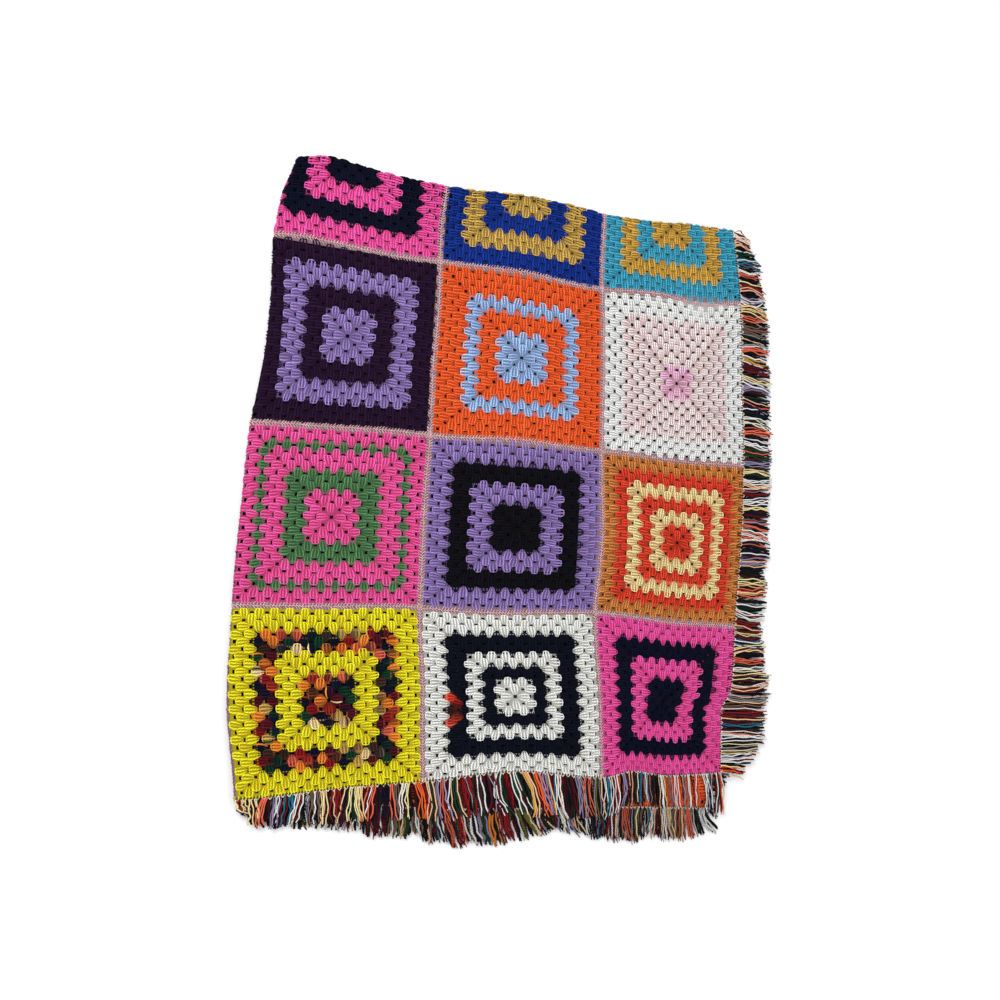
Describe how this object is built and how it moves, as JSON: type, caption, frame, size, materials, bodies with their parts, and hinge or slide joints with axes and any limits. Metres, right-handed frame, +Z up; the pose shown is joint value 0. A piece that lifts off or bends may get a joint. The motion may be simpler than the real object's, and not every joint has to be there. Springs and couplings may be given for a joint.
{
  "type": "granny square blanket",
  "caption": "Crocheted patchwork blanket of granny squares with a knotted yarn fringe on every edge, folded in quarters and lying flat.",
  "frame": {"origin": "on the underside, in the middle of the folded cloth", "axes": "+Z up from the surface the blanket lies on, +Y towards the top fold, +X away from the left fold"},
  "size_m": [0.9265, 1.0867, 0.0229],
  "materials": {
    "crochet_yarn": "matt acrylic yarn, worked in bright contrasting rounds",
    "fringe_yarn": "matt loose yarn ends in mixed colours"
  },
  "bodies": {
    "root": {"cloth": "crochet_yarn", "fringe_right": "fringe_yarn", "fringe_left": "fringe_yarn", "fringe_near": "fringe_yarn", "fringe_far": "fringe_yarn"}
  },
  "joints": []
}
